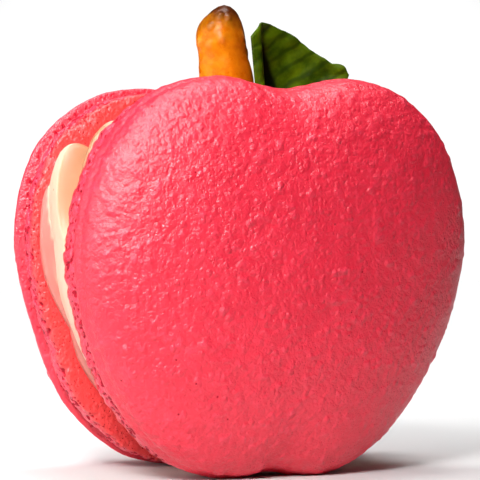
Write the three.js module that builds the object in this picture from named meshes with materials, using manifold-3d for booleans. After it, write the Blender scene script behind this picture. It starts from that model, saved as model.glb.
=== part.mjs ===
// An apple-shaped almond macaron that stands on the two lobes of its shells.
// Two domed shells with ruffled feet hold a thick layer of piped cream, a stick of
// pretzel stands in the cream as the stalk, and a small folded leaf stands beside it.
// Millimetres, +Z up. The front shell is towards -Y and the back shell towards +Y.
import * as THREE from "three";
import { mergeVertices } from "three/addons/utils/BufferGeometryUtils.js";
import Module from "manifold-3d";

// Driving sizes of the sandwich
const HALF_WIDTH = 26; // from the middle to the fullest part of a cheek
const HEIGHT = 48.2; // from the table to the top of a lobe
const CREAM_THICKNESS = 9.6; // between the flat undersides of the two shells
const FOOT_HEIGHT = 4; // ruffled foot, from the flat underside to the crust
const CRUST_WALL = 1.8; // upright edge of the crust above the foot
const DOME_RISE = 7.2; // crown of the dome above the crust's wall
const CORE_Z = 24; // height of the point that the outline is drawn around

// Outline of a shell, anticlockwise from the right cheek, as shares of the half width
// and of the height. The lobes reach a little below zero and are flattened by the table.
const FRONT_OUTLINE = [
  [1.01, 0.612], // right cheek
  [0.885, 0.85],
  [0.662, 0.962],
  [0.385, 0.998], // right lobe's crown
  [0.155, 0.977],
  [0.05, 0.966], // notch for the stalk
  [-0.07, 0.973],
  [-0.275, 0.991], // left lobe's crown
  [-0.61, 0.946],
  [-0.86, 0.81],
  [-0.985, 0.59], // left cheek
  [-0.93, 0.36],
  [-0.76, 0.165],
  [-0.49, 0.031],
  [-0.21, -0.002], // left foot
  [-0.04, 0.011], // notch of the calyx
  [0.19, -0.008], // right foot
  [0.462, 0.046],
  [0.718, 0.182],
  [0.921, 0.38],
];
const BACK_OUTLINE = [
  [1, 0.6],
  [0.89, 0.845],
  [0.65, 0.968],
  [0.4, 0.992],
  [0.16, 0.972],
  [0.03, 0.957],
  [-0.1, 0.967],
  [-0.33, 0.99],
  [-0.625, 0.958],
  [-0.905, 0.829],
  [-1.01, 0.6],
  [-0.917, 0.36],
  [-0.758, 0.167],
  [-0.475, 0.034],
  [-0.195, -0.002],
  [0, 0.016],
  [0.2, -0.004],
  [0.47, 0.045],
  [0.74, 0.185],
  [0.92, 0.37],
];
// Extra tuck of the foot under the crust, at the top of a shell
const FRONT_TUCK = 0;
const BACK_TUCK = 0.7;

// Edge of a shell from the flat underside up: share of the foot's height or of the
// wall's, how far it lies inside the outline, and how much of the ruffle it takes
const FOOT_PROFILE = [
  { up: 0, inset: 0.75, ruffle: 0.4 },
  { up: 0.12, inset: 0.42, ruffle: 0.9 },
  { up: 0.4, inset: 0.3, ruffle: 1 },
  { up: 0.7, inset: 0.42, ruffle: 1 },
  { up: 0.92, inset: 0.95, ruffle: 0.5 },
];
const WALL_PROFILE = [
  { up: 0.12, inset: 0.28 },
  { up: 0.5, inset: 0 },
  { up: 1, inset: 0.12 },
];
const RUFFLE_DEPTH = 0.32;
const RUFFLES = 56; // frills round the foot
const CRUST_LUMP = 0.16; // unevenness of the piped crust
const LUMPS = 17;
const EDGE_SEGMENTS = 144;
const DOME_RINGS = 8;
const UNDERSIDE_RINGS = 4;

// Cream: a thick layer whose side is piped in folds, laid one over the next like petals.
// The outline runs along the folds' crests and is shorter than the shells top and bottom.
const CREAM_OUTLINE = [
  [0.975, 0.58],
  [0.945, 0.71],
  [0.85, 0.818],
  [0.735, 0.875],
  [0.48, 0.91],
  [0, 0.9],
  [-0.5, 0.905],
  [-0.75, 0.871],
  [-0.854, 0.81],
  [-0.935, 0.716],
  [-0.962, 0.62],
  [-0.96, 0.54],
  [-0.93, 0.425],
  [-0.87, 0.34],
  [-0.77, 0.249],
  [-0.628, 0.175],
  [-0.41, 0.12],
  [0, 0.09],
  [0.42, 0.117],
  [0.64, 0.172],
  [0.79, 0.252],
  [0.895, 0.35],
  [0.95, 0.45],
];
const FANS = 3; // groups of folds round the layer
const FAN_START = 131; // degrees
const FOLD_DEPTH = 1.9;
const VALLEY_DEPTH = 3; // between two folds, below the outline
const TIP_LENGTH = 7; // degrees over which a fold's rounded tip rises

// The folds of a fan start at the back shell and run forward. A path gives, by degrees from
// the fan's start, where the crest lies across the layer and how far below the outline.
// Back and front are how far from the crest the surface has sunk by a fold's depth.
const FOLDS = [
  {
    tip: 0,
    back: 1.7,
    front: 5,
    path: [
      { turn: 0, across: -3.4, below: -0.2 },
      { turn: 12, across: -4.2, below: 0 },
      { turn: 25, across: -4.6, below: 1.1 },
      { turn: 105, across: -4.6, below: 1.1 },
      { turn: 120, across: -4.6, below: 3 },
    ],
  },
  {
    tip: 9,
    back: 7.2,
    front: 1.2,
    path: [
      { turn: 9, across: 4.3, below: 0 },
      { turn: 12, across: 3.8, below: 0 },
      { turn: 39, across: -3.8, below: 0 },
      { turn: 65, across: -4.6, below: 0 },
      { turn: 98, across: -3, below: 0 },
      { turn: 120, across: -3, below: 3 },
    ],
  },
  {
    tip: 21,
    back: 4,
    front: 1,
    path: [
      { turn: 21, across: 4.3, below: 0.2 },
      { turn: 41, across: 4.2, below: 0.3 },
      { turn: 49, across: 4.2, below: 0.55 },
      { turn: 59, across: 4.2, below: 1.6 },
      { turn: 66, across: 4.2, below: 2.05 },
      { turn: 76, across: 4.2, below: 1.2 },
      { turn: 94, across: 4, below: 0.3 },
      { turn: 120, across: 4, below: 3 },
    ],
  },
];
const CREAM_COLUMNS = 114;
const CREAM_LAYERS = 11;
const TOUCHING_GAP = 0.05; // left between the cream and each shell

// Pretzel stick: sections from its lower end, inside the cream, to its rounded tip
const STICK_SECTIONS = [
  { z: 35.5, x: -0.3, radius: 2.7 },
  { z: 36.1, x: -0.35, radius: 3.25 },
  { z: 42, x: -1.1, radius: 3.4 },
  { z: 48.6, x: -1.9, radius: 3.35 },
  { z: 51.3, x: -2.35, radius: 3.05 },
  { z: 52.8, x: -2.6, radius: 3.15 },
  { z: 54.4, x: -2.7, radius: 2.9 },
  { z: 55.6, x: -2.6, radius: 2.45 },
  { z: 56.7, x: -2.35, radius: 1.65 },
  { z: 57.4, x: -2.2, radius: 0.8 },
];
const STICK_TIP_Z = 57.7;
const STICK_SIDES = 22;
const STICK_RINGS = 20;
const SOCKET_GAP = 0.3; // round the stick and the leaf's foot, in the cream

// Leaf: stations from its curled left edge to its drooping tip, each with the foot
// and the top of the blade there, and how far the blade bows back between the two
const LEAF_THICKNESS = 0.5;
const LEAF_STATIONS = [
  { foot: [1.7, -3.1, 45.2], top: [0.05, -3, 53.6], bow: 0 },
  { foot: [2.7, -3.3, 44.2], top: [1.3, -2.7, 54.9], bow: 0.1 },
  { foot: [3.6, 0.9, 41.6], top: [2.6, -0.8, 55.6], bow: 1.1 },
  { foot: [4.4, 1.3, 39.6], top: [4.1, -0.3, 55.5], bow: 1 },
  { foot: [6, 0.6, 40.4], top: [6.8, -0.1, 54.6], bow: 0.7 },
  { foot: [8.4, -0.3, 44.4], top: [9.6, -0.8, 52.6], bow: 0.5 },
  { foot: [11, -1.4, 47.3], top: [11.6, -1.8, 51.05], bow: 0.3 },
  { foot: [12.7, -2.3, 48.2], top: [13, -2.5, 50.6], bow: 0.2 },
  { foot: [13.75, -2.9, 48.8], top: [13.9, -2.9, 49.4], bow: 0 },
];
const LEAF_COLUMNS = 24;
const LEAF_ROWS = 8;

const TAU = Math.PI * 2;

const wasm = await Module();
wasm.setup();

// A repeatable random number from 0 to 1 for each whole number and seed
function scatter(n, seed) {
  const s = Math.sin(n * 127.1 + seed * 311.7) * 43758.5453;
  return s - Math.floor(s);
}

// Smooth noise from -1 to 1 with a number of waves round the outline
function roundNoise(angle, waves, seed) {
  const x = (((angle / TAU) % 1) + 1) % 1 * waves;
  const i = Math.floor(x);
  const f = x - i;
  const blend = f * f * (3 - 2 * f);
  const a = scatter(i % waves, seed);
  const b = scatter((i + 1) % waves, seed);
  return 2 * (a + (b - a) * blend) - 1;
}

function smoothStep(from, to, x) {
  const t = Math.min(1, Math.max(0, (x - from) / (to - from)));
  return t * t * (3 - 2 * t);
}

// Turns outline points into a function that gives the radius at an angle round the core
function radiusAround(outline) {
  const corners = outline.map(
    ([x, z]) => new THREE.Vector3(x * HALF_WIDTH, 0, z * HEIGHT - CORE_Z),
  );
  const curve = new THREE.CatmullRomCurve3(corners, true, "centripetal");
  const polar = curve.getPoints(900).map((p) => ({
    angle: (Math.atan2(p.z, p.x) + TAU) % TAU,
    radius: Math.hypot(p.x, p.z),
  }));
  polar.sort((a, b) => a.angle - b.angle);
  const steps = 720;
  const table = [];
  let i = 0;
  for (let k = 0; k < steps; k++) {
    const angle = (k / steps) * TAU;
    while (i < polar.length - 1 && polar[i].angle < angle) i++;
    table.push(polar[i].radius);
  }
  return (angle) => {
    const x = (((angle / TAU) % 1) + 1) % 1 * steps;
    const n = Math.floor(x);
    const a = table[n % steps];
    return a + (table[(n + 1) % steps] - a) * (x - n);
  };
}

// The same outline with its notches rounded out, for the middle of the dome
function roundedOut(radius) {
  const reach = 0.55;
  const taps = 12;
  return (angle) => {
    let sum = 0;
    for (let k = -taps; k <= taps; k++) sum += radius(angle + (k / taps) * reach);
    return sum / (2 * taps + 1);
  };
}

// Skins a stack of closed rings, each a list of points in angle order, into a solid.
// The rings may hold different numbers of points, and the ends close on a middle point.
function skin(rings, firstPoint, lastPoint) {
  const points = [firstPoint, ...rings.flat(), lastPoint];
  const faces = [];
  const starts = [];
  let next = 1;
  for (const ring of rings) {
    starts.push(next);
    next += ring.length;
  }
  const last = points.length - 1;
  const at = (r, k) => starts[r] + (k % rings[r].length);
  for (let k = 0; k < rings[0].length; k++) faces.push([0, at(0, k), at(0, k + 1)]);
  for (let r = 0; r + 1 < rings.length; r++) {
    const na = rings[r].length;
    const nb = rings[r + 1].length;
    let a = 0;
    let b = 0;
    while (a < na || b < nb) {
      if (b >= nb || (a < na && (a + 1) / na <= (b + 1) / nb)) {
        faces.push([at(r, a), at(r + 1, b), at(r, a + 1)]);
        a++;
      } else {
        faces.push([at(r, a), at(r + 1, b), at(r + 1, b + 1)]);
        b++;
      }
    }
  }
  const end = rings.length - 1;
  for (let k = 0; k < rings[end].length; k++)
    faces.push([at(end, k), last, at(end, k + 1)]);
  return facesToGeometry(points, faces);
}

// Builds a geometry whose faces point out, whichever way round the skin was wound
function facesToGeometry(points, faces) {
  let volume = 0;
  for (const [a, b, c] of faces)
    volume += points[a].dot(points[b].clone().cross(points[c]));
  const index = faces.flatMap(([a, b, c]) => (volume < 0 ? [a, c, b] : [a, b, c]));
  const geometry = new THREE.BufferGeometry().setFromPoints(points);
  geometry.setIndex(index);
  return geometry;
}

// One shell. side is -1 for the front shell and 1 for the back shell.
function shellGeometry(outline, tuck, side, seed) {
  const radius = radiusAround(outline);
  const soft = roundedOut(radius);
  const flat = CREAM_THICKNESS / 2;
  const place = (angle, r, up) =>
    new THREE.Vector3(
      r * Math.cos(angle),
      side * (flat + up),
      Math.max(0, CORE_Z + r * Math.sin(angle)),
    );
  const ring = (count, radiusAt, up) =>
    Array.from({ length: count }, (_, k) => {
      const angle = (k / count) * TAU;
      return place(angle, radiusAt(angle), up);
    });
  const lump = (angle) => CRUST_LUMP * roundNoise(angle, LUMPS, seed);
  const rings = [];

  for (let k = 1; k < UNDERSIDE_RINGS; k++) {
    const share = k / UNDERSIDE_RINGS;
    rings.push(ring(Math.round(EDGE_SEGMENTS * share), (a) => soft(a) * share * 0.95, 0));
  }
  for (const { up, inset, ruffle } of FOOT_PROFILE) {
    const frill = (a) =>
      ruffle * RUFFLE_DEPTH * roundNoise(a, RUFFLES, seed + 1 + Math.round(up * 3));
    const edge = (a) => radius(a) - inset - tuck * Math.max(0, Math.sin(a)) + frill(a);
    rings.push(ring(EDGE_SEGMENTS, edge, up * FOOT_HEIGHT));
  }
  for (const { up, inset } of WALL_PROFILE)
    rings.push(
      ring(
        EDGE_SEGMENTS,
        (a) => radius(a) - inset + lump(a) * (1 - up),
        FOOT_HEIGHT + up * CRUST_WALL,
      ),
    );
  for (let k = DOME_RINGS - 1; k > 0; k--) {
    const climb = ((k / DOME_RINGS) * Math.PI) / 2;
    const share = Math.sin(climb);
    const notch = smoothStep(0.35, 1, share);
    const blended = (a) => (soft(a) * (1 - notch) + radius(a) * notch) * share;
    const up = FOOT_HEIGHT + CRUST_WALL + DOME_RISE * Math.cos(climb);
    const count = Math.max(12, Math.round(EDGE_SEGMENTS * share * share));
    rings.push(ring(count, (a) => blended(a) + lump(a) * share * 0.5, up));
  }
  const underMiddle = place(0, 0, 0);
  const crown = place(0, 0, FOOT_HEIGHT + CRUST_WALL + DOME_RISE);
  return skin(rings, underMiddle, crown);
}

// A value of a fold's path at a turn, straight between the named points
function alongPath(path, turn, key) {
  const after = path.findIndex((point) => point.turn >= turn);
  if (after === 0) return path[0][key];
  if (after < 0) return path[path.length - 1][key];
  const [from, to] = [path[after - 1], path[after]];
  return THREE.MathUtils.mapLinear(turn, from.turn, to.turn, from[key], to[key]);
}

// How far the surface of one fold lies below the outline of the crests
function foldDepth({ tip, back, front, path }, turn, y) {
  const away = y - alongPath(path, turn, "across");
  const across = away / (away > 0 ? back : front);
  const rise = 1 - Math.sqrt(THREE.MathUtils.clamp((turn - tip) / TIP_LENGTH, 0, 1));
  return alongPath(path, turn, "below") + FOLD_DEPTH * across ** 2 + VALLEY_DEPTH * rise ** 2;
}

function creamDepth(angle, y) {
  const degrees = THREE.MathUtils.radToDeg(angle) - FAN_START;
  const turn = THREE.MathUtils.euclideanModulo(degrees, 360 / FANS);
  return Math.min(VALLEY_DEPTH, ...FOLDS.map((fold) => foldDepth(fold, turn, y)));
}

function creamGeometry() {
  const crest = radiusAround(CREAM_OUTLINE);
  const half = CREAM_THICKNESS / 2 - TOUCHING_GAP;
  const ring = (count, y, share) =>
    Array.from({ length: count }, (_, k) => {
      const angle = (k / count) * TAU;
      const r = share * (crest(angle) - creamDepth(angle, y));
      return new THREE.Vector3(r * Math.cos(angle), y, CORE_Z + r * Math.sin(angle));
    });
  const capShares = [0.25, 0.6];
  const cap = (y) => capShares.map((share) => ring(Math.round(CREAM_COLUMNS * share), y, share));
  const side = Array.from({ length: CREAM_LAYERS + 1 }, (_, k) =>
    ring(CREAM_COLUMNS, half * ((2 * k) / CREAM_LAYERS - 1), 1),
  );
  const middle = (y) => new THREE.Vector3(0, y, CORE_Z);
  return skin([...cap(-half), ...side, ...cap(half).reverse()], middle(-half), middle(half));
}

// The stick, thicker all round by extra for the socket that it stands in
function stickGeometry(extra) {
  const spine = new THREE.CatmullRomCurve3(
    STICK_SECTIONS.map(({ x, radius, z }) => new THREE.Vector3(x, radius, z)),
  );
  const rings = spine.getPoints(STICK_RINGS - 1).map(({ x, y: radius, z }, k) =>
    Array.from({ length: STICK_SIDES }, (_, s) => {
      const angle = (s / STICK_SIDES) * TAU;
      const blister = 0.12 * roundNoise(angle + k * 0.4, 7, 5) * smoothStep(48, 53, z);
      const r = radius + blister * Math.min(1, radius / 2) + extra;
      return new THREE.Vector3(x + r * Math.cos(angle), r * Math.sin(angle), z);
    }),
  );
  const first = STICK_SECTIONS[0];
  const last = STICK_SECTIONS[STICK_SECTIONS.length - 1];
  const heel = new THREE.Vector3(first.x, 0, first.z - extra - 0.05);
  return skin(rings, heel, new THREE.Vector3(last.x, 0, STICK_TIP_Z + extra));
}

// The leaf, thicker all round by extra for the slit that it stands in
function leafGeometry(extra) {
  const rail = (key) =>
    new THREE.CatmullRomCurve3(
      LEAF_STATIONS.map((station) => new THREE.Vector3(...station[key])),
    );
  const foot = rail("foot");
  const top = rail("top");
  const bow = new THREE.CatmullRomCurve3(
    LEAF_STATIONS.map((station, k) => new THREE.Vector3(k, station.bow, 0)),
  );
  const middle = (s, t) => {
    const p = foot.getPoint(s).lerp(top.getPoint(s), t);
    p.y += bow.getPoint(s).y * Math.sin(Math.PI * t);
    return p;
  };
  const normal = (s, t) => {
    const d = 0.01;
    const along = middle(Math.min(1, s + d), t).sub(middle(Math.max(0, s - d), t));
    const up = middle(s, Math.min(1, t + d)).sub(middle(s, Math.max(0, t - d)));
    return along.cross(up).normalize();
  };
  const half = LEAF_THICKNESS / 2 + extra;
  const columns = LEAF_COLUMNS;
  const rows = LEAF_ROWS;
  const points = [];
  for (const face of [-1, 1])
    for (let i = 0; i <= columns; i++)
      for (let j = 0; j <= rows; j++) {
        const s = i / columns;
        const t = j / rows;
        const point = middle(s, t).addScaledVector(normal(s, t), face * half);
        if (j === 0) point.z -= extra;
        if (i === 0) point.x -= extra;
        points.push(point);
      }
  const sheet = (columns + 1) * (rows + 1);
  const at = (face, i, j) => face * sheet + i * (rows + 1) + j;
  const faces = [];
  const quad = (a, b, c, d) => faces.push([a, b, c], [a, c, d]);
  for (let i = 0; i < columns; i++)
    for (let j = 0; j < rows; j++) {
      quad(at(0, i, j), at(0, i, j + 1), at(0, i + 1, j + 1), at(0, i + 1, j));
      faces.push([at(1, i, j), at(1, i + 1, j + 1), at(1, i, j + 1)]);
      faces.push([at(1, i, j), at(1, i + 1, j), at(1, i + 1, j + 1)]);
    }
  for (let i = 0; i < columns; i++) {
    quad(at(0, i, 0), at(0, i + 1, 0), at(1, i + 1, 0), at(1, i, 0));
    quad(at(0, i + 1, rows), at(0, i, rows), at(1, i, rows), at(1, i + 1, rows));
  }
  for (let j = 0; j < rows; j++) {
    quad(at(0, 0, j + 1), at(0, 0, j), at(1, 0, j), at(1, 0, j + 1));
    quad(at(0, columns, j), at(0, columns, j + 1), at(1, columns, j + 1), at(1, columns, j));
  }
  return facesToGeometry(points, faces);
}

function toSolid(geometry) {
  const merged = mergeVertices(geometry, 1e-4);
  return new wasm.Manifold(
    new wasm.Mesh({
      numProp: 3,
      vertProperties: new Float32Array(merged.attributes.position.array),
      triVerts: new Uint32Array(merged.index.array),
    }),
  );
}

function toGeometry(solid) {
  const mesh = solid.getMesh();
  const geometry = new THREE.BufferGeometry();
  geometry.setAttribute("position", new THREE.BufferAttribute(mesh.vertProperties, 3));
  geometry.setIndex(new THREE.BufferAttribute(mesh.triVerts, 1));
  return geometry;
}

// Cream with the socket of the stick and the slit of the leaf cut out of it
function fillingGeometry() {
  return toGeometry(
    toSolid(creamGeometry())
      .subtract(toSolid(stickGeometry(SOCKET_GAP)))
      .subtract(toSolid(leafGeometry(SOCKET_GAP))),
  );
}

function piece(name, geometry, colour, roughness) {
  geometry.computeVertexNormals();
  const material = new THREE.MeshStandardMaterial({ color: colour, roughness, metalness: 0 });
  const mesh = new THREE.Mesh(geometry, material);
  mesh.name = name;
  return mesh;
}

const macaron = new THREE.Group();
macaron.add(
  piece("shell_front", shellGeometry(FRONT_OUTLINE, FRONT_TUCK, -1, 11), 0xf2506a, 0.6),
  piece("shell_back", shellGeometry(BACK_OUTLINE, BACK_TUCK, 1, 23), 0xf2506a, 0.6),
  piece("cream", fillingGeometry(), 0xfbe6cc, 0.35),
  piece("pretzel_stick", stickGeometry(0), 0xc87414, 0.3),
  piece("leaf", leafGeometry(0), 0x2f5208, 0.35),
);

// The origin is under the middle of the macaron's box, on the table
const box = new THREE.Box3().setFromObject(macaron);
const middle = box.getCenter(new THREE.Vector3());
macaron.position.set(-middle.x, -middle.y, -box.min.z);

export default macaron;
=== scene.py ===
"""Dresses the apple-shaped macaron: shells, cream, pretzel stick and leaf, with a studio round them."""

import math

import bpy
import numpy as np
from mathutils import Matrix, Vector


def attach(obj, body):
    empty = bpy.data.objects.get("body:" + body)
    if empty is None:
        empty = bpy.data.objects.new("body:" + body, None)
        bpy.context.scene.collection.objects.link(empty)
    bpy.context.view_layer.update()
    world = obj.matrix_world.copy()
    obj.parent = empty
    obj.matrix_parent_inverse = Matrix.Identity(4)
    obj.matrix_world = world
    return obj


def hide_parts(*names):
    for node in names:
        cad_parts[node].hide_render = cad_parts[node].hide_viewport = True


# Sizes below are millimetres, in the part's own frame
MM = 0.001
HALF_WIDTH = 26
HEIGHT = 48.2
CREAM_THICKNESS = 9.6
FOOT_HEIGHT = 4
CRUST_WALL = 1.8
DOME_RISE = 7.2
CORE_Z = 24
MEAN_RADIUS = 25

# Outlines of the shells and of the cream's crests, as shares of half width and height
FRONT_OUTLINE = [
    (1.01, 0.612),
    (0.885, 0.85),
    (0.662, 0.962),
    (0.385, 0.998),
    (0.155, 0.977),
    (0.05, 0.966),
    (-0.07, 0.973),
    (-0.275, 0.991),
    (-0.61, 0.946),
    (-0.86, 0.81),
    (-0.985, 0.59),
    (-0.93, 0.36),
    (-0.76, 0.165),
    (-0.49, 0.031),
    (-0.21, -0.002),
    (-0.04, 0.011),
    (0.19, -0.008),
    (0.462, 0.046),
    (0.718, 0.182),
    (0.921, 0.38),
]
BACK_OUTLINE = [
    (1, 0.6),
    (0.89, 0.845),
    (0.65, 0.968),
    (0.4, 0.992),
    (0.16, 0.972),
    (0.03, 0.957),
    (-0.1, 0.967),
    (-0.33, 0.99),
    (-0.625, 0.958),
    (-0.905, 0.829),
    (-1.01, 0.6),
    (-0.917, 0.36),
    (-0.758, 0.167),
    (-0.475, 0.034),
    (-0.195, -0.002),
    (0, 0.016),
    (0.2, -0.004),
    (0.47, 0.045),
    (0.74, 0.185),
    (0.92, 0.37),
]
CREAM_OUTLINE = [
    (0.975, 0.58),
    (0.945, 0.71),
    (0.85, 0.818),
    (0.735, 0.875),
    (0.48, 0.91),
    (0, 0.9),
    (-0.5, 0.905),
    (-0.75, 0.871),
    (-0.854, 0.81),
    (-0.935, 0.716),
    (-0.962, 0.62),
    (-0.96, 0.54),
    (-0.93, 0.425),
    (-0.87, 0.34),
    (-0.77, 0.249),
    (-0.628, 0.175),
    (-0.41, 0.12),
    (0, 0.09),
    (0.42, 0.117),
    (0.64, 0.172),
    (0.79, 0.252),
    (0.895, 0.35),
    (0.95, 0.45),
]

# How far each foot is drawn in under its crust along the top
FRONT_TUCK = 0
BACK_TUCK = 0.7

# Edge of a shell from the flat underside up to the dome: height above the underside,
# how far it lies inside the outline, how much ruffle it takes, and how rough it is
EDGE_PROFILE = [
    (0.0, 0.8, 0.6, 0.4),
    (0.08, 0.6, 0.9, 0.8),
    (0.4, 0.42, 1.0, 1.0),
    (1.6, 0.3, 1.0, 1.0),
    (2.6, 0.38, 1.0, 1.0),
    (3.3, 0.6, 0.8, 1.0),
    (3.75, 1.0, 0.5, 0.8),
    (3.95, 0.95, 0.2, 0.4),
    (4.1, 0.5, 0.0, 0.1),
    (4.4, 0.0, 0.0, 0.0),
    (5.0, 0.06, 0.0, 0.0),
    (5.8, 0.45, 0.0, 0.0),
]
DOME_INSET = 0.45
EDGE_STEP = 0.2
DOME_STEP = 0.2
UNDERSIDE_STEP = 0.6
CRUST_BUMPS = 2200
FOOT_PORES = 800
PORE_DEPTH = 0.35

# Folds of the cream, in fans of three that start at the back shell and run forward.
# A fold's path gives, by degrees from the fan's start, where its crest lies across the
# cream and how far below the outline. Its reach is how far to the back and to the front
# of the crest its surface has sunk by a fold's depth
FANS = 3
FAN_START = 131
FOLD_DEPTH = 1.9
VALLEY_DEPTH = 3
TIP_LENGTH = 7
FOLDS = [
    {
        "tip": 0,
        "reach": (1.7, 5),
        "path": [(0, -3.4, -0.2), (12, -4.2, 0), (25, -4.6, 1.1), (105, -4.6, 1.1), (120, -4.6, 3)],
    },
    {
        "tip": 9,
        "reach": (7.2, 1.2),
        "path": [(9, 4.3, 0), (12, 3.8, 0), (39, -3.8, 0), (65, -4.6, 0), (98, -3, 0), (120, -3, 3)],
    },
    {
        "tip": 21,
        "reach": (4, 1),
        "path": [
            (21, 4.3, 0.2),
            (41, 4.2, 0.3),
            (49, 4.2, 0.55),
            (59, 4.2, 1.6),
            (66, 4.2, 2.05),
            (76, 4.2, 1.2),
            (94, 4, 0.3),
            (120, 4, 3),
        ],
    },
]
TOUCHING_GAP = 0.05

# Stick: height, middle and radius of its sections
STICK_SECTIONS = [
    (35.5, -0.3, 2.7),
    (36.1, -0.35, 3.25),
    (42, -1.1, 3.4),
    (48.6, -1.9, 3.35),
    (51.3, -2.35, 3.05),
    (52.8, -2.6, 3.1),
    (54.4, -2.7, 2.9),
    (55.6, -2.6, 2.45),
    (56.7, -2.35, 1.65),
    (57.4, -2.2, 0.8),
]
STICK_TIP_Z = 57.65
STICK_MEAN_RADIUS = 3

# Blisters of the stick: place round it from its front, height, size, rise and tallness
BLISTERS = [
    (-2.7, 54.6, 0.75, 0.34, 1.0),
    (-1.7, 55.9, 0.95, 0.3, 0.9),
    (-0.2, 55.8, 0.7, 0.2, 1.0),
    (-1.3, 53.0, 0.9, 0.16, 1.2),
    (-2.9, 52.4, 0.8, 0.2, 1.1),
    (-4.6, 52.8, 1.1, 0.22, 1.0),
    (-4.3, 50.4, 0.7, 0.12, 1.2),
    (-3.0, 49.9, 0.6, 0.1, 1.0),
    (1.9, 53.6, 0.8, 0.16, 1.2),
    (3.6, 51.7, 0.9, 0.18, 1.0),
    (4.4, 55.0, 0.8, 0.2, 1.0),
]

# Leaf: foot and top of the blade at stations from its curled edge to its tip, and its bow
LEAF_STATIONS = [
    ((0.8, -3.1, 45.2), (0.05, -3, 53.6), 0),
    ((1.9, -3.3, 44.2), (1.3, -2.7, 54.9), 0.1),
    ((3.6, 0.9, 41.6), (2.6, -0.8, 55.6), 1.1),
    ((4.4, 1.3, 39.6), (4.1, -0.3, 55.5), 1),
    ((6, 0.6, 40.4), (6.8, -0.1, 54.6), 0.7),
    ((8.4, -0.3, 44.4), (9.6, -0.8, 52.6), 0.5),
    ((11, -1.4, 47.3), (11.6, -1.8, 51.05), 0.3),
    ((12.7, -2.3, 48.2), (13, -2.5, 50.6), 0.2),
    ((13.75, -2.9, 48.8), (13.9, -2.9, 49.4), 0),
]
LEAF_THICKNESS = 0.42

# Where the leaf swells by its tip, across and up, and the top of the painted shade in the pocket behind
# its curled edge
TIP_SWELLING = (12.8, 50.1)
POCKET_TOP = 53.4

# Camera, low and to the left of the macaron's front
CAMERA_TURN = 26
CAMERA_DISTANCE = 237
CAMERA_HEIGHT = 25.2
TARGET_HEIGHT = 28.4
LENS = 142.5
SENSOR = 36

# Strength of the world by the cosine from the camera's line: from, to, dim and bright
WORLD_FADE = (0.955, 0.985, 0.025, 1.05)

# Lights, in metres, degrees and watts
KEY_PLACE = (-0.1, -0.09, 0.125)
KEY_TARGET = (-0.034, -0.012, 0.041)
KEY_SIZE = (0.095, 0.095)
KEY_SPREAD = 39
KEY_POWER = 0.047
SIDE_PLACE = (-0.26, 0.01, 0.1)
SIDE_TARGET = (-0.02, 0, 0.025)
SIDE_SIZE = (0.26, 0.2)
SIDE_POWER = 0.36
CEILING_HEIGHT = 0.6
CEILING_SIZE = (1.5, 4.4)
CEILING_SPREAD = 45
CEILING_POWER = 31

# Turns the noise off the axes, so that its cells don't line up with them
NOISE_TILT = np.array([[0.8, -0.6, 0], [0.36, 0.48, -0.8], [0.48, 0.64, 0.6]])

TAU = math.tau
FLAT = CREAM_THICKNESS / 2


def smooth_step(start, end, x):
    t = np.clip((x - start) / (end - start), 0, 1)
    return t * t * (3 - 2 * t)


def closed_curve(points, samples):
    """Centripetal Catmull-Rom curve through a closed loop of points."""
    points = np.asarray(points, float)
    count = len(points)
    out = []
    for i in range(count):
        p0, p1, p2, p3 = (points[(i + k - 1) % count] for k in range(4))
        t0 = 0.0
        t1 = t0 + np.linalg.norm(p1 - p0) ** 0.5
        t2 = t1 + np.linalg.norm(p2 - p1) ** 0.5
        t3 = t2 + np.linalg.norm(p3 - p2) ** 0.5
        t = np.linspace(t1, t2, samples, endpoint=False)[:, None]
        a1 = (t1 - t) / (t1 - t0) * p0 + (t - t0) / (t1 - t0) * p1
        a2 = (t2 - t) / (t2 - t1) * p1 + (t - t1) / (t2 - t1) * p2
        a3 = (t3 - t) / (t3 - t2) * p2 + (t - t2) / (t3 - t2) * p3
        b1 = (t2 - t) / (t2 - t0) * a1 + (t - t0) / (t2 - t0) * a2
        b2 = (t3 - t) / (t3 - t1) * a2 + (t - t1) / (t3 - t1) * a3
        out.append((t2 - t) / (t2 - t1) * b1 + (t - t1) / (t2 - t1) * b2)
    return np.concatenate(out)


def open_curve(points, shares):
    """Catmull-Rom curve through an open row of points, evenly spaced by point number."""
    points = np.asarray(points, float)
    padded = np.vstack([2 * points[0] - points[1], points, 2 * points[-1] - points[-2]])
    place = np.clip(np.asarray(shares, float), 0, 1) * (len(points) - 1)
    i = np.minimum(place.astype(int), len(points) - 2)
    t = (place - i)[:, None]
    p0, p1, p2, p3 = (padded[i + k] for k in range(4))
    return 0.5 * (
        2 * p1
        + (p2 - p0) * t
        + (2 * p0 - 5 * p1 + 4 * p2 - p3) * t**2
        + (3 * p1 - p0 - 3 * p2 + p3) * t**3
    )


def radius_around(outline):
    """Radius of an outline at an angle round the core."""
    curve = closed_curve([(x * HALF_WIDTH, z * HEIGHT - CORE_Z) for x, z in outline], 60)
    angle = np.arctan2(curve[:, 1], curve[:, 0]) % TAU
    order = np.argsort(angle)
    reach = np.hypot(curve[:, 0], curve[:, 1])
    return lambda a: np.interp(a % TAU, angle[order], reach[order], period=TAU)


def rounded_out(radius):
    """The same outline with its notches rounded out, for the middle of the dome."""
    shifts = np.linspace(-0.55, 0.55, 25)
    return lambda a: np.mean([radius(a + shift) for shift in shifts], axis=0)


def hashed(cell, seed):
    """A 16-bit number for each whole-numbered cell."""
    h = cell[:, 0] * 73856093 ^ cell[:, 1] * 19349663 ^ cell[:, 2] * 83492791 ^ seed * 2654435761
    h = (h ^ (h >> 13)) * 1274126177 & 0xFFFFFFFF
    return (h ^ (h >> 16)) & 0xFFFF


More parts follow.
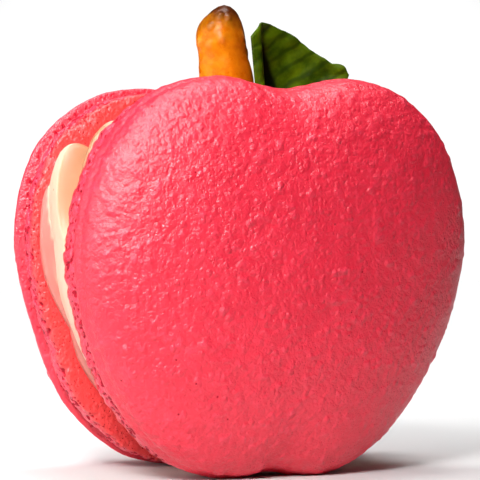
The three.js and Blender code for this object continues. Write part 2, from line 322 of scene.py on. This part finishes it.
def noise(points, size, seed):
    """Gradient noise, about -0.7 to 0.7, with features of the size given."""
    p = points @ NOISE_TILT / size + seed * 13.7
    cell = np.floor(p).astype(np.int64)
    f = p - cell
    fade = f**3 * (f * (f * 6 - 15) + 10)
    total = np.zeros(len(points))
    for corner in np.ndindex(2, 2, 2):
        c = np.array(corner)
        h = hashed(cell + c, seed)
        turn = h / 65536 * TAU
        rise = (h * 7919 % 65536) / 32768 - 1
        flat = np.sqrt(1 - rise**2)
        gradient = np.stack([flat * np.cos(turn), flat * np.sin(turn), rise], 1)
        weight = np.prod(np.where(c, fade, 1 - fade), axis=1)
        total += weight * np.sum(gradient * (f - c), axis=1)
    return total * 1.3


def blobs(coords, centres, radii, heights, stretch):
    """Sum of rounded bumps, each a centre in two coordinates with a radius and a height."""
    total = np.zeros(len(coords))
    order = np.argsort(coords[:, 0])
    ordered = coords[order]
    for centre, radius, height, tall in zip(centres, radii, heights, stretch):
        lo, hi = np.searchsorted(ordered[:, 0], (centre[0] - radius, centre[0] + radius))
        near = ordered[lo:hi]
        d = ((near[:, 0] - centre[0]) / radius) ** 2
        d += ((near[:, 1] - centre[1]) / (radius * tall)) ** 2
        total[order[lo:hi]] += height * np.clip(1 - d, 0, 1) ** 2
    return total


def upright_ring(angle, radius, y):
    """A ring round the core, facing along Y, from its radius at each angle."""
    return np.stack([radius * np.cos(angle), np.full(len(angle), y), CORE_Z + radius * np.sin(angle)], 1)


def stitch(rings):
    """Triangles between closed rings, which may have different numbers of points."""
    faces = []
    start = 0
    for ring, following in zip(rings, rings[1:]):
        na, nb = len(ring), len(following)
        after = start + na
        a = b = 0
        while a < na or b < nb:
            if b >= nb or (a < na and (a + 1) / na <= (b + 1) / nb):
                faces.append((start + a % na, after + b % nb, start + (a + 1) % na))
                a += 1
            else:
                faces.append((start + a % na, after + b % nb, after + (b + 1) % nb))
                b += 1
        start = after
    return faces


def close_ends(rings, first, last):
    """Vertices and faces of a stack of rings with a middle point at either end."""
    count = sum(len(ring) for ring in rings)
    faces = stitch(rings)
    head, tail = len(rings[0]), len(rings[-1])
    faces += [(count, k, (k + 1) % head) for k in range(head)]
    base = count - tail
    faces += [(count + 1, base + (k + 1) % tail, base + k) for k in range(tail)]
    return np.vstack([*rings, [first], [last]]), np.array(faces)


def outward(points, faces):
    """The faces, turned if need be so that they point out of the solid."""
    a, b, c = (points[faces[:, k]] for k in range(3))
    volume = np.sum(a * np.cross(b, c))
    return faces if volume > 0 else faces[:, ::-1]


def vertex_normals(points, faces):
    a, b, c = (points[faces[:, k]] for k in range(3))
    across = np.cross(b - a, c - a)
    normals = np.zeros_like(points)
    for k in range(3):
        np.add.at(normals, faces[:, k], across)
    return normals / (np.linalg.norm(normals, axis=1)[:, None] + 1e-12)


def add_piece(name, points, faces, material, node):
    """Makes a smooth-shaded piece from millimetre points and puts it in place of a CAD node."""
    mesh = bpy.data.meshes.new(name)
    mesh.from_pydata((points * MM).tolist(), [], faces.tolist())
    mesh.polygons.foreach_set("use_smooth", [True] * len(mesh.polygons))
    mesh.materials.append(material)
    obj = bpy.data.objects.new(name, mesh)
    bpy.context.scene.collection.objects.link(obj)
    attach(obj, "root")
    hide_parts(node)
    return obj


def add_field(obj, name, values):
    """Stores a number at every vertex for the material to read."""
    field = obj.data.attributes.new(name, "FLOAT", "POINT")
    field.data.foreach_set("value", np.asarray(values, np.float32))


# Shells


def shell_rings(outline, tuck, side):
    """Rings of one shell from the middle of its underside over the edge to the crown.
    Each vertex also gets its height on the edge, its share of the radius and its roughness."""
    radius = radius_around(outline)
    soft = rounded_out(radius)
    rings, lift, share, rough = [], [], [], []

    def add(step, share_of_radius, up, reach, roughness):
        count = max(9, int(TAU * MEAN_RADIUS * share_of_radius / step))
        angle = np.arange(count) / count * TAU
        rings.append(upright_ring(angle, reach(angle), side * (FLAT + up)))
        lift.append(np.full(count, up))
        share.append(np.full(count, share_of_radius))
        rough.append(np.full(count, roughness))

    for s in np.arange(0.06, 0.955, UNDERSIDE_STEP / MEAN_RADIUS):
        add(UNDERSIDE_STEP, s, 0, lambda a, s=s: soft(a) * s * 0.97, 0)

    profile = np.array(EDGE_PROFILE)
    length = np.r_[0, np.cumsum(np.hypot(np.diff(profile[:, 0]), np.diff(profile[:, 1])))]
    places = np.linspace(0, length[-1], int(length[-1] / EDGE_STEP))
    shares = np.interp(places, length, np.linspace(0, 1, len(length)))
    for up, inset, ruffle, roughness in open_curve(profile, shares):

        def edge(a, up=up, inset=inset, ruffle=ruffle):
            across, high = MEAN_RADIUS * np.cos(a), MEAN_RADIUS * np.sin(a)
            ring = np.stack([across, np.full(len(a), up * 0.35), high], 1)
            frill = 0.34 * ruffle * noise(ring, 2.6, 3 + side) + 0.1 * ruffle * noise(ring, 1.1, 5)
            under = tuck * np.maximum(0, np.sin(a)) * (1 - smooth_step(3.4, 4.4, up))
            return radius(a) - inset - under + frill

        add(EDGE_STEP, 1, up, edge, roughness)

    wall = FOOT_HEIGHT + CRUST_WALL
    arc = np.linspace(0, math.pi / 2, 400)
    inward, upward = np.diff(MEAN_RADIUS * np.cos(arc)), np.diff(DOME_RISE * np.sin(arc))
    path = np.r_[0, np.cumsum(np.hypot(inward, upward))]
    for climb in np.interp(np.arange(DOME_STEP, path[-1] - 0.5, DOME_STEP), path, arc):
        s = math.cos(climb)
        notch = smooth_step(0.35, 1, s)
        up = wall + DOME_RISE * math.sin(climb)

        def dome(a, s=s, notch=notch):
            return (soft(a) * (1 - notch) + (radius(a) - DOME_INSET) * notch) * s

        add(DOME_STEP, s, up, dome, 0)

    crown = wall + DOME_RISE
    points, faces = close_ends(rings, (0, side * FLAT, CORE_Z), (0, side * (FLAT + crown), CORE_Z))
    lift = np.r_[np.concatenate(lift), 0, crown]
    share = np.r_[np.concatenate(share), 0, 0]
    rough = np.r_[np.concatenate(rough), 0, 0]
    return points, outward(points, faces), lift, share, rough


def shell(name, outline, tuck, side, node, material, seed):
    points, faces, lift, share, rough = shell_rings(outline, tuck, side)
    normals = vertex_normals(points, faces)
    rng = np.random.default_rng(seed)
    flat = points[:, [0, 2]]

    crust = smooth_step(3.95, 4.25, lift)
    relief = 0.09 * noise(points, 7.5, seed) + 0.06 * noise(points, 3.1, seed + 1)
    fine = 0.08 * noise(points, 1.5, seed + 2) + 0.02 * noise(points, 0.8, seed + 5)
    count = CRUST_BUMPS
    centres = np.stack([rng.uniform(-27, 27, count), rng.uniform(-1, 49, count)], 1)
    radii = rng.uniform(0.36, 0.7, count)
    heights = radii * rng.uniform(0.05, 0.18, count)
    bumps = blobs(flat, centres, radii, heights, rng.uniform(0.8, 1.3, count))
    fine += bumps * smooth_step(4.9, 5.8, lift)
    height = crust * (relief + fine)

    angle = np.arctan2(points[:, 2] - CORE_Z, points[:, 0])
    band = np.stack([angle * MEAN_RADIUS, lift], 1)
    count = FOOT_PORES
    centres = np.stack([rng.uniform(-80, 80, count), rng.uniform(0.2, 3.7, count)], 1)
    radii = rng.uniform(0.25, 0.5, count)
    pores = blobs(band, centres, radii, np.ones(count), rng.uniform(0.6, 1.4, count))
    pores = np.clip(pores, 0, 1) * rough
    grain = 0.16 * noise(points, 0.65, seed + 3) + 0.14 * noise(points, 1.3, seed + 4)
    height += rough * grain - PORE_DEPTH * pores
    underside = (lift < 0.01) & (share < 0.99)
    height[underside] = 0

    points = points + normals * height[:, None]
    points[:, 2] = np.maximum(points[:, 2], 0)
    obj = add_piece(name, points, faces, material, node)
    add_field(obj, "pore", pores)
    under = smooth_step(1.3, 0.3, lift)
    add_field(obj, "foot", (1 - smooth_step(3.9, 4.3, lift)) * (1 - under))
    add_field(obj, "underside", under)
    # Painted shade in the groove between the foot and the crust
    add_field(obj, "crease_shade", smooth_step(3.2, 3.8, lift) * smooth_step(4.25, 3.95, lift))
    add_field(obj, "relief", crust * fine)


# Cream


def fan_turn(angle):
    """Degrees from the start of the fan that an angle lies in."""
    return (np.degrees(angle) - FAN_START) % (360 / FANS)


def fold_depth(fold, turn, y):
    """How far the surface of one fold lies below the outline of the crests."""
    turns, crests, depths = np.array(fold["path"]).T
    back, front = fold["reach"]
    away = y - np.interp(turn, turns, crests)
    across = np.where(away > 0, away / back, away / front)
    tip = 1 - np.sqrt(np.clip((turn - fold["tip"]) / TIP_LENGTH, 0, 1))
    return np.interp(turn, turns, depths) + FOLD_DEPTH * across**2 + VALLEY_DEPTH * tip**2


def cream_depths(angle, y):
    """Depth of each fold, and of the valley between them, below the outline."""
    turn = fan_turn(angle)
    depths = [fold_depth(fold, turn, y) for fold in FOLDS]
    return np.array([*depths, np.full(len(turn), VALLEY_DEPTH)])


def cream_radius(angle, y):
    """Radius of the cream's side, which is folded like petals laid one over the next."""
    return radius_around(CREAM_OUTLINE)(angle) - np.min(cream_depths(angle, y), axis=0)


def cream(material):
    half = FLAT - TOUCHING_GAP
    columns, layers = 700, 56
    rings = []

    def ring(count, y, share):
        angle = np.arange(count) / count * TAU
        return upright_ring(angle, share * cream_radius(angle, y), y)

    shares = (0.2, 0.5, 0.8, 0.93)
    for share in shares:
        rings.append(ring(int(columns * share), -half, share))
    for y in np.linspace(-half, half, layers):
        rings.append(ring(columns, y, 1))
    for share in reversed(shares):
        rings.append(ring(int(columns * share), half, share))
    points, faces = close_ends(rings, (0, -half, CORE_Z), (0, half, CORE_Z))
    faces = outward(points, faces)
    normals = vertex_normals(points, faces)
    side = smooth_step(half, half - 0.4, np.abs(points[:, 1]))
    height = side * (0.12 * noise(points, 5, 41) + 0.03 * noise(points, 1.6, 42))
    angle = np.arctan2(points[:, 2] - CORE_Z, points[:, 0])
    depths = cream_depths(angle, points[:, 1])
    obj = add_piece("cream_layer", points + normals * height[:, None], faces, material, "cream")
    # Painted reflection: pink where the fold against the back shell lies outermost, for red light thrown
    # back from the shell
    add_field(obj, "pink_bounce", smooth_step(0, 0.3, depths[1] - depths[2]))

    # Painted shade in the hollow in front of the middle fold's crest, darker and more orange
    turn = fan_turn(angle)
    turns, crests, _ = np.array(FOLDS[1]["path"]).T
    before = np.interp(turn, turns, crests) - points[:, 1]
    reach = smooth_step(4, 9, turn) * smooth_step(48, 30, turn)
    add_field(obj, "hollow_shade", smooth_step(0, 0.35, before) * reach)


# Pretzel stick


def stick(material):
    sides, steps = 110, 190
    sections = open_curve(STICK_SECTIONS, np.linspace(0, 1, steps))
    angle = np.arange(sides) / sides * TAU
    rings = []
    for z, x, radius in sections:
        rings.append(np.stack([x + radius * np.cos(angle), radius * np.sin(angle), np.full(sides, z)], 1))
    first, last = STICK_SECTIONS[0], STICK_SECTIONS[-1]
    points, faces = close_ends(rings, (first[1], 0, first[0] - 0.05), (last[1], 0, STICK_TIP_Z))
    faces = outward(points, faces)
    normals = vertex_normals(points, faces)
    levels, middles, _ = np.array(STICK_SECTIONS).T
    turn = np.arctan2(points[:, 1], points[:, 0] - np.interp(points[:, 2], levels, middles))
    sheet = np.stack([(turn + math.pi / 2) * STICK_MEAN_RADIUS, points[:, 2]], 1)
    around, heights, sizes, rises, tall = np.array(BLISTERS).T
    bumps = blobs(sheet, np.stack([around, heights], 1), sizes, rises, tall)
    height = bumps + 0.1 * noise(points * (1, 1, 0.5), 1.9, 51) + 0.03 * noise(points, 0.7, 52)
    height *= smooth_step(STICK_TIP_Z + 0.1, STICK_TIP_Z - 1.2, points[:, 2])
    points = points + normals * height[:, None]
    obj = add_piece("pretzel", points, faces, material, "pretzel_stick")
    add_field(obj, "blister", np.clip(bumps / 0.3, 0, 1))
    # Painted shade: the stick's right-hand side, away from the lights, is painted browner
    add_field(obj, "side_shade", smooth_step(-0.2, 1, np.cos(turn + 0.3)))


# Leaf


def leaf(material):
    columns, rows = 150, 80
    s = np.linspace(0, 1, columns)
    foot = open_curve([station[0] for station in LEAF_STATIONS], s)
    top = open_curve([station[1] for station in LEAF_STATIONS], s)
    bow = open_curve([(station[2],) for station in LEAF_STATIONS], s)[:, 0]
    t = np.linspace(0, 1, rows)
    grid = foot[:, None] * (1 - t[:, None]) + top[:, None] * t[:, None]
    grid[:, :, 1] += bow[:, None] * np.sin(math.pi * t)
    blade = smooth_step(0.22, 0.35, s)[:, None]
    height = grid[:, :, 2]
    waves = np.sin(2.4 * (grid[:, :, 0] * 0.75 - height * 0.9))
    swell = noise(grid.reshape(-1, 3), 2.4, 61).reshape(columns, rows)
    grid[:, :, 1] += blade * (0.07 * waves + 0.22 * swell)
    across = (grid[:, :, 0] - TIP_SWELLING[0]) / 0.7
    up = (height - TIP_SWELLING[1]) / 0.55
    grid[:, :, 1] -= 0.5 * np.exp(-(across**2) - up**2)
    level = np.repeat(grid[:, :, 0].reshape(-1, 1), 3, axis=1)
    grid[:, :, 2] += 0.2 * t * noise(level, 1.3, 62).reshape(columns, rows)

    du = np.gradient(grid, axis=0)
    dv = np.gradient(grid, axis=1)
    normal = np.cross(du, dv)
    normal /= np.linalg.norm(normal, axis=2)[:, :, None]
    rim = np.minimum(smooth_step(-0.01, 0.05, t), smooth_step(1.01, 0.96, t))[None, :]
    rim = rim * np.minimum(smooth_step(-0.01, 0.02, s), smooth_step(1.01, 0.98, s))[:, None]
    half = (LEAF_THICKNESS / 2 * (0.35 + 0.65 * rim))[:, :, None]
    front, back = grid - normal * half, grid + normal * half
    points = np.vstack([front.reshape(-1, 3), back.reshape(-1, 3)])
    sheet = columns * rows

    def at(face, i, j):
        return face * sheet + i * rows + j

    faces = []

    def quad(a, b, c, d):
        faces.append((a, b, c))
        faces.append((a, c, d))

    for i in range(columns - 1):
        for j in range(rows - 1):
            quad(at(0, i, j), at(0, i, j + 1), at(0, i + 1, j + 1), at(0, i + 1, j))
            quad(at(1, i, j), at(1, i + 1, j), at(1, i + 1, j + 1), at(1, i, j + 1))
        quad(at(0, i, 0), at(0, i + 1, 0), at(1, i + 1, 0), at(1, i, 0))
        quad(at(0, i + 1, rows - 1), at(0, i, rows - 1), at(1, i, rows - 1), at(1, i + 1, rows - 1))
    for j in range(rows - 1):
        quad(at(0, 0, j + 1), at(0, 0, j), at(1, 0, j), at(1, 0, j + 1))
        last = columns - 1
        quad(at(0, last, j), at(0, last, j + 1), at(1, last, j + 1), at(1, last, j))
    obj = add_piece("leaf_blade", points, outward(points, np.array(faces)), material, "leaf")

    # Painted shade: the deep pocket behind the curled edge, which widens towards the foot, is painted
    # near black
    x, _, z = points.T
    drop = POCKET_TOP - z
    pocket_shade = smooth_step(2.0, 2.3, x - 0.03 * drop) * smooth_step(3.5, 2.9, x - 0.44 * drop)
    add_field(obj, "pocket_shade", pocket_shade * smooth_step(-0.3, 0.6, drop))


# Materials


class Nodes:
    """Shorthand for building a material's node tree."""

    def __init__(self, name):
        self.material = bpy.data.materials.new(name)
        self.material.use_nodes = True
        self.tree = self.material.node_tree
        self.shader = self.tree.nodes["Principled BSDF"]
        self.coordinates = self.tree.nodes.new("ShaderNodeTexCoord").outputs["Object"]

    def node(self, kind, inputs=(), **settings):
        node = self.tree.nodes.new(kind)
        for key, value in settings.items():
            setattr(node, key, value)
        for key, value in dict(inputs).items():
            if isinstance(value, bpy.types.NodeSocket):
                self.tree.links.new(value, node.inputs[key])
            else:
                node.inputs[key].default_value = value
        return node

    def field(self, name):
        return self.node("ShaderNodeAttribute", attribute_name=name).outputs["Fac"]

    def noise(self, size, detail=2.0, roughness=0.5):
        """Noise with features of about the size given, in millimetres."""
        inputs = {"Vector": self.coordinates, "Scale": 1 / (size * MM)}
        inputs |= {"Detail": detail, "Roughness": roughness}
        return self.node("ShaderNodeTexNoise", inputs).outputs["Fac"]

    def cells(self, size, channel):
        """Distance to the nearest of many scattered points, and a number drawn for it."""
        node = self.node("ShaderNodeTexVoronoi", {"Vector": self.coordinates, "Scale": 1 / (size * MM)})
        drawn = self.node("ShaderNodeSeparateColor", {0: node.outputs["Color"]}).outputs[channel]
        return node.outputs["Distance"], drawn

    def specks(self, spacing, share, outer, inner):
        """Tiny spots in a share of the cells, fading from an inner to an outer radius in cells."""
        distance, drawn = self.cells(spacing, 0)
        chosen = self.ramp(drawn, 1 - share, 1.02 - share)
        return self.maths("MULTIPLY", self.ramp(distance, outer, inner), chosen)

    def pits(self, spacing, share, radius):
        """Round dark spots of mixed sizes in a share of the cells, each up to a radius in cells."""
        distance, drawn = self.cells(spacing, 1)
        size = self.ramp(drawn, 1 - share, 1, 0.0, radius)
        inside = self.maths("SUBTRACT", size, distance)
        return self.ramp(inside, 0, 0.07)

    def pebbles(self, spacing):
        """Rounded bumps of mixed heights, one in each cell."""
        distance, drawn = self.cells(spacing, 0)
        dome = self.ramp(self.maths("MULTIPLY", distance, distance), 0.36, 0)
        return self.maths("MULTIPLY", dome, drawn)

    def ramp(self, value, low, high, to_low=0.0, to_high=1.0):
        inputs = {0: value, 1: low, 2: high, 3: to_low, 4: to_high}
        return self.node("ShaderNodeMapRange", inputs).outputs[0]

    def maths(self, operation, a, b):
        return self.node("ShaderNodeMath", {0: a, 1: b}, operation=operation).outputs[0]

    def mix(self, factor, a, b):
        node = self.node("ShaderNodeMix", data_type="RGBA")
        for index, value in ((0, factor), (6, a), (7, b)):
            if isinstance(value, bpy.types.NodeSocket):
                self.tree.links.new(value, node.inputs[index])
            elif index:
                node.inputs[index].default_value = (*value, 1)
            else:
                node.inputs[index].default_value = value
        return node.outputs[2]

    def bump(self, height, depth, strength=1.0):
        """Bump whose full height is the depth given, in millimetres."""
        inputs = {"Height": height, "Distance": depth * MM, "Strength": strength}
        return self.node("ShaderNodeBump", inputs).outputs["Normal"]

    def link(self, socket, name):
        self.tree.links.new(socket, self.shader.inputs[name])

    def set(self, **values):
        for name, value in values.items():
            self.shader.inputs[name.replace("_", " ")].default_value = value


def shell_material():
    n = Nodes("rose_meringue")
    relief = n.field("relief")
    patches = n.noise(5.5, 3)
    fine = n.noise(0.55, 3, 0.6)
    colour = n.mix(n.ramp(patches, 0.35, 0.65), (0.8, 0.013, 0.043), (0.87, 0.019, 0.052))
    # Raised crust relief is painted lighter, a painted sheen on the bump tops, and low relief painted
    # darker, painted shade in the hollows
    colour = n.mix(n.ramp(relief, 0.03, 0.2, 0, 0.5), colour, (0.95, 0.06, 0.12))
    colour = n.mix(n.ramp(relief, 0.0, -0.12, 0, 0.5), colour, (0.66, 0.006, 0.024))
    colour = n.mix(n.ramp(fine, 0.55, 0.8, 0, 0.3), colour, (0.93, 0.05, 0.1))
    colour = n.mix(n.ramp(n.pebbles(0.7), 0.2, 0.7, 0, 0.25), colour, (0.96, 0.06, 0.12))

    # Dark spots, their darker red being painted shade inside the holes: pits of the foot, finer ones of
    # the underside, pores, and pinholes of the crust
    foot = n.field("foot")
    under = n.field("underside")
    foot_pits = n.maths("MAXIMUM", n.pits(1.05, 0.8, 0.58), n.pits(0.55, 0.75, 0.5))
    under_pits = n.maths("MULTIPLY", n.pits(0.5, 0.65, 0.42), 0.75)
    crust = n.ramp(n.maths("MAXIMUM", foot, under), 0, 1, 1, 0)
    dark = n.maths("MULTIPLY", foot_pits, foot)
    dark = n.maths("MAXIMUM", dark, n.maths("MULTIPLY", under_pits, under))
    dark = n.maths("MAXIMUM", dark, n.ramp(n.field("pore"), 0.3, 0.8))
    dark = n.maths("MAXIMUM", dark, n.maths("MULTIPLY", n.specks(2.1, 0.5, 0.07, 0.035), crust))

    colour = n.mix(n.maths("MULTIPLY", under, 0.9), colour, (0.88, 0.042, 0.042))
    colour = n.mix(n.maths("MULTIPLY", foot, 0.5), colour, (0.9, 0.06, 0.12))
    # Painted shade: darker red in the groove between the foot and the crust
    colour = n.mix(n.maths("MULTIPLY", n.field("crease_shade"), 0.6), colour, (0.5, 0.004, 0.02))
    colour = n.mix(n.maths("MULTIPLY", dark, 0.85), colour, (0.4, 0.001, 0.016))
    n.link(colour, "Base Color")
    n.link(n.ramp(fine, 0.3, 0.7, 0.36, 0.48), "Roughness")
    n.link(n.ramp(dark, 0, 0.7, 0.85, 0.15), "Specular IOR Level")
    pebbles = n.maths("ADD", n.pebbles(0.75), n.maths("MULTIPLY", n.pebbles(0.45), 0.5))
    grain = n.maths("ADD", pebbles, n.noise(0.26, 2, 0.6))
    n.link(n.bump(n.maths("SUBTRACT", grain, dark), 0.1), "Normal")
    return n.material


def cream_material():
    n = Nodes("ivory_cream")
    speck = n.specks(2.6, 0.45, 0.075, 0.045)
    colour = n.mix(n.ramp(n.noise(6, 2), 0.3, 0.7), (0.72, 0.52, 0.36), (0.78, 0.58, 0.42))
    # Painted shade: the hollow in front of the middle fold's crest, darker and more orange
    colour = n.mix(n.maths("MULTIPLY", n.field("hollow_shade"), 0.9), colour, (0.46, 0.19, 0.08))
    # Painted reflection: pink on the fold against the back shell, for red light thrown back from the
    # shell
    colour = n.mix(n.maths("MULTIPLY", n.field("pink_bounce"), 0.9), colour, (0.55, 0.15, 0.13))
    colour = n.mix(n.maths("MULTIPLY", speck, 0.8), colour, (0.35, 0.12, 0.03))
    n.link(colour, "Base Color")
    n.link(n.ramp(n.noise(3, 2), 0.3, 0.7, 0.36, 0.46), "Roughness")
    n.set(Specular_IOR_Level=0.6, Subsurface_Weight=0.12, Subsurface_Scale=1 * MM)
    n.set(Subsurface_Radius=(1.0, 0.6, 0.3))
    n.link(n.bump(n.noise(0.9, 2), 0.03, 0.6), "Normal")
    return n.material


def pretzel_material():
    n = Nodes("baked_pretzel")
    height = n.node("ShaderNodeSeparateXYZ", {0: n.coordinates}).outputs[2]
    mottle = n.noise(1.5, 4, 0.6)
    shift = n.maths("MULTIPLY", n.maths("SUBTRACT", n.noise(2.4, 2), 0.5), 4 * MM)
    tip = n.ramp(n.maths("ADD", height, shift), 53.2 * MM, 56.6 * MM)
    colour = n.mix(n.ramp(mottle, 0.35, 0.65), (0.62, 0.15, 0.001), (0.82, 0.25, 0.003))
    colour = n.mix(n.ramp(n.noise(0.5, 3), 0.5, 0.75, 0, 0.4), colour, (0.9, 0.33, 0.01))
    # Painted shade: browner on the stick's right-hand side, away from the lights
    colour = n.mix(n.maths("MULTIPLY", n.field("side_shade"), 0.75), colour, (0.34, 0.065, 0.001))
    colour = n.mix(n.ramp(n.field("blister"), 0.2, 0.9, 0, 0.45), colour, (0.9, 0.42, 0.12))
    colour = n.mix(n.maths("MULTIPLY", tip, 0.95), colour, (0.05, 0.007, 0.001))
    n.link(colour, "Base Color")
    n.link(n.ramp(mottle, 0.3, 0.7, 0.22, 0.4), "Roughness")
    n.set(Specular_IOR_Level=0.12, Coat_Weight=0.04, Coat_Roughness=0.12)
    n.set(Subsurface_Weight=0.15, Subsurface_Scale=0.8 * MM, Subsurface_Radius=(1.0, 0.4, 0.1))
    n.link(n.bump(n.noise(0.4, 3, 0.6), 0.05, 0.7), "Normal")
    return n.material


def leaf_material():
    n = Nodes("green_leaf")
    broad = n.noise(2.2, 3)
    colour = n.mix(n.ramp(broad, 0.3, 0.7), (0.016, 0.04, 0.0005), (0.1, 0.165, 0.001))
    slant = (0, math.radians(38), 0)
    slanted = n.node("ShaderNodeMapping", {"Vector": n.coordinates, "Rotation": slant})
    inputs = {"Vector": slanted.outputs[0], "Scale": 0.16 / MM}
    inputs |= {"Distortion": 3.5, "Detail": 2.0, "Detail Scale": 1.2}
    stripes = n.node("ShaderNodeTexWave", inputs, bands_direction="Z").outputs["Fac"]
    colour = n.mix(n.ramp(stripes, 0.3, 0.0, 0, 0.6), colour, (0.01, 0.028, 0.0005))
    # Painted shade: near black in the pocket behind the curled edge
    colour = n.mix(n.maths("MULTIPLY", n.field("pocket_shade"), 0.95), colour, (0.0005, 0.002, 0.0002))
    n.link(colour, "Base Color")
    n.link(n.ramp(broad, 0.3, 0.7, 0.4, 0.55), "Roughness")
    n.set(Specular_IOR_Level=0.06, Subsurface_Weight=0.1, Subsurface_Scale=0.4 * MM)
    n.set(Subsurface_Radius=(0.4, 1.0, 0.1))
    creases = n.maths("ADD", n.maths("MULTIPLY", stripes, 0.7), n.noise(0.6, 2))
    n.link(n.bump(creases, 0.12, 0.7), "Normal")
    return n.material


# Studio


def add_light(name, place, target, size, power, spread=180):
    """Adds a softbox at a place, aimed at a target, with its spread in degrees."""
    light = bpy.data.lights.new(name, "AREA")
    light.shape = "RECTANGLE"
    light.size, light.size_y = size
    light.energy = power
    light.spread = math.radians(spread)
    obj = bpy.data.objects.new(name, light)
    obj.location = place
    obj.rotation_euler = (Vector(target) - Vector(place)).to_track_quat("-Z", "Y").to_euler()
    obj.visible_camera = False
    bpy.context.scene.collection.objects.link(obj)
    return obj


def studio():
    n = Nodes("pale_floor")
    n.link(n.mix(n.noise(40, 2), (0.67, 0.67, 0.67), (0.69, 0.69, 0.69)), "Base Color")
    n.set(Roughness=0.9, Specular_IOR_Level=0.1)
    bpy.ops.mesh.primitive_plane_add(size=5, location=(0, 0, 0))
    floor = bpy.context.object
    floor.name = "floor"
    floor.data.materials.append(n.material)

    # A white backdrop behind the macaron, and a dimmer room on the other sides
    world = bpy.data.worlds.new("studio")
    world.use_nodes = True
    tree = world.node_tree
    direction = tree.nodes.new("ShaderNodeTexCoord").outputs["Generated"]
    along = tree.nodes.new("ShaderNodeVectorMath")
    along.operation = "DOT_PRODUCT"
    tree.links.new(direction, along.inputs[0])
    turn = math.radians(CAMERA_TURN)
    along.inputs[1].default_value = (math.sin(turn), math.cos(turn), 0)
    fade = tree.nodes.new("ShaderNodeMapRange")
    tree.links.new(along.outputs["Value"], fade.inputs[0])
    for index, value in enumerate(WORLD_FADE):
        fade.inputs[index + 1].default_value = value
    tree.nodes["Background"].inputs["Color"].default_value = (1, 1, 1, 1)
    tree.links.new(fade.outputs[0], tree.nodes["Background"].inputs["Strength"])
    bpy.context.scene.world = world

    add_light("key", KEY_PLACE, KEY_TARGET, KEY_SIZE, KEY_POWER, KEY_SPREAD)
    add_light("side", SIDE_PLACE, SIDE_TARGET, SIDE_SIZE, SIDE_POWER)

    # A long ceiling light over the floor behind the macaron, turned to run away from the camera
    away = CEILING_SIZE[1] / 2
    under = Vector((math.sin(turn) * away, math.cos(turn) * away, 0))
    above = under + Vector((0, 0, CEILING_HEIGHT))
    ceiling = add_light("ceiling", above, under, CEILING_SIZE, CEILING_POWER, CEILING_SPREAD)
    ceiling.rotation_euler = (0, 0, -turn)


def camera():
    turn = math.radians(CAMERA_TURN)
    place = Vector((-math.sin(turn), -math.cos(turn), 0)) * CAMERA_DISTANCE
    place.z = CAMERA_HEIGHT
    data = bpy.data.cameras.new("camera")
    data.sensor_fit = "HORIZONTAL"
    data.sensor_width = SENSOR
    data.lens = LENS
    data.clip_start = 0.01
    obj = bpy.data.objects.new("camera", data)
    obj.location = place * MM
    aim = Vector((0, 0, TARGET_HEIGHT)) - place
    obj.rotation_euler = aim.to_track_quat("-Z", "Y").to_euler()
    bpy.context.scene.collection.objects.link(obj)
    bpy.context.scene.camera = obj


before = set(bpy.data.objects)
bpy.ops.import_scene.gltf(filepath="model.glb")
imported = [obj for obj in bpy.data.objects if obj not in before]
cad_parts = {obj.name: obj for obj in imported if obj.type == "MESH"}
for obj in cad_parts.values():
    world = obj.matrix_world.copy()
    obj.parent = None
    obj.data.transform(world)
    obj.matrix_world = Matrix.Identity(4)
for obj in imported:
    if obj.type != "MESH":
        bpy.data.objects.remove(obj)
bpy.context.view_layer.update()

camera()
rose = shell_material()
shell("front_shell", FRONT_OUTLINE, FRONT_TUCK, -1, "shell_front", rose, 11)
shell("back_shell", BACK_OUTLINE, BACK_TUCK, 1, "shell_back", rose, 23)
cream(cream_material())
stick(pretzel_material())
leaf(leaf_material())
studio()

bpy.context.scene.view_settings.view_transform = "Standard"
bpy.context.scene.view_settings.look = "None"

bpy.context.view_layer.update()
